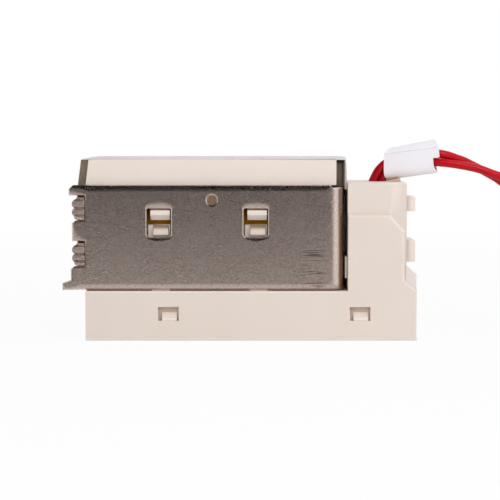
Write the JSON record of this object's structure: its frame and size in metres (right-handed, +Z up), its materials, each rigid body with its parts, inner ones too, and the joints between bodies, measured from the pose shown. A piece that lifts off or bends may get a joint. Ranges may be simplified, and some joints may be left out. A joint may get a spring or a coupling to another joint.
{
  "type": "trip solenoid",
  "caption": "Trip solenoid of a circuit breaker: a plated steel frame holds a coil on a moulded base with a terminal tower; a sprung plunger drives a push rod out of the left end.",
  "frame": {"origin": "on the floor under the middle of the housing, with the leads left out", "axes": "+X along the coil axis towards the terminal tower, +Y to the back, +Z up"},
  "size_m": [0.1551, 0.0446, 0.0504],
  "materials": {
    "cream_plastic": "satin moulded",
    "white_plastic": "satin moulded",
    "nickel_steel": "satin nickel plate",
    "yellow_steel": "yellow passivated zinc",
    "label_film": "blank film",
    "black_nylon": "moulded",
    "copper_wire": "enamelled",
    "yellow_tape": "polyester tape",
    "brass": "drawn",
    "soft_iron": "turned",
    "spring_steel": "drawn",
    "dark_steel": "phosphated",
    "green_board": "solder mask",
    "black_epoxy": "moulded",
    "blue_epoxy": "dipped",
    "can_sleeve": "shrunk film",
    "red_pvc": "wire insulation",
    "white_sleeve": "soft film",
    "grey_collar": "moulded",
    "tinned_copper": "tinned"
  },
  "bodies": {
    "housing": {"base_housing": "cream_plastic", "bottom_cover": "white_plastic", "steel_frame": "nickel_steel", "end_plate": "yellow_steel", "top_cover": "cream_plastic", "top_label": "label_film", "bobbin": "black_nylon", "coil_winding": "copper_wire", "coil_tape": "yellow_tape", "guide_tube": "brass", "pole_piece": "soft_iron", "return_spring": "spring_steel", "coil_pins": "tinned_copper", "circuit_board": "green_board", "rectifier": "black_epoxy", "varistor": "blue_epoxy", "capacitor": "can_sleeve", "lead_terminals": "brass", "lead_a": "red_pvc", "lead_b": "red_pvc", "marker_sleeve": "white_sleeve", "lead_coil": "red_pvc", "coil_tie": "black_nylon", "ferrule_collars": "grey_collar", "ferrule_tubes": "tinned_copper"},
    "armature": {"plunger": "soft_iron", "push_rod": "spring_steel", "retaining_ring": "dark_steel"}
  },
  "joints": [
    {"name": "plunger_slide", "type": "slide", "parent": "housing", "child": "armature", "axis": [-1, 0, 0], "range_m": [0, 0.006], "stiffness_N_per_m": 300, "springref_m": -0.004, "deforming": ["return_spring"]}
  ]
}
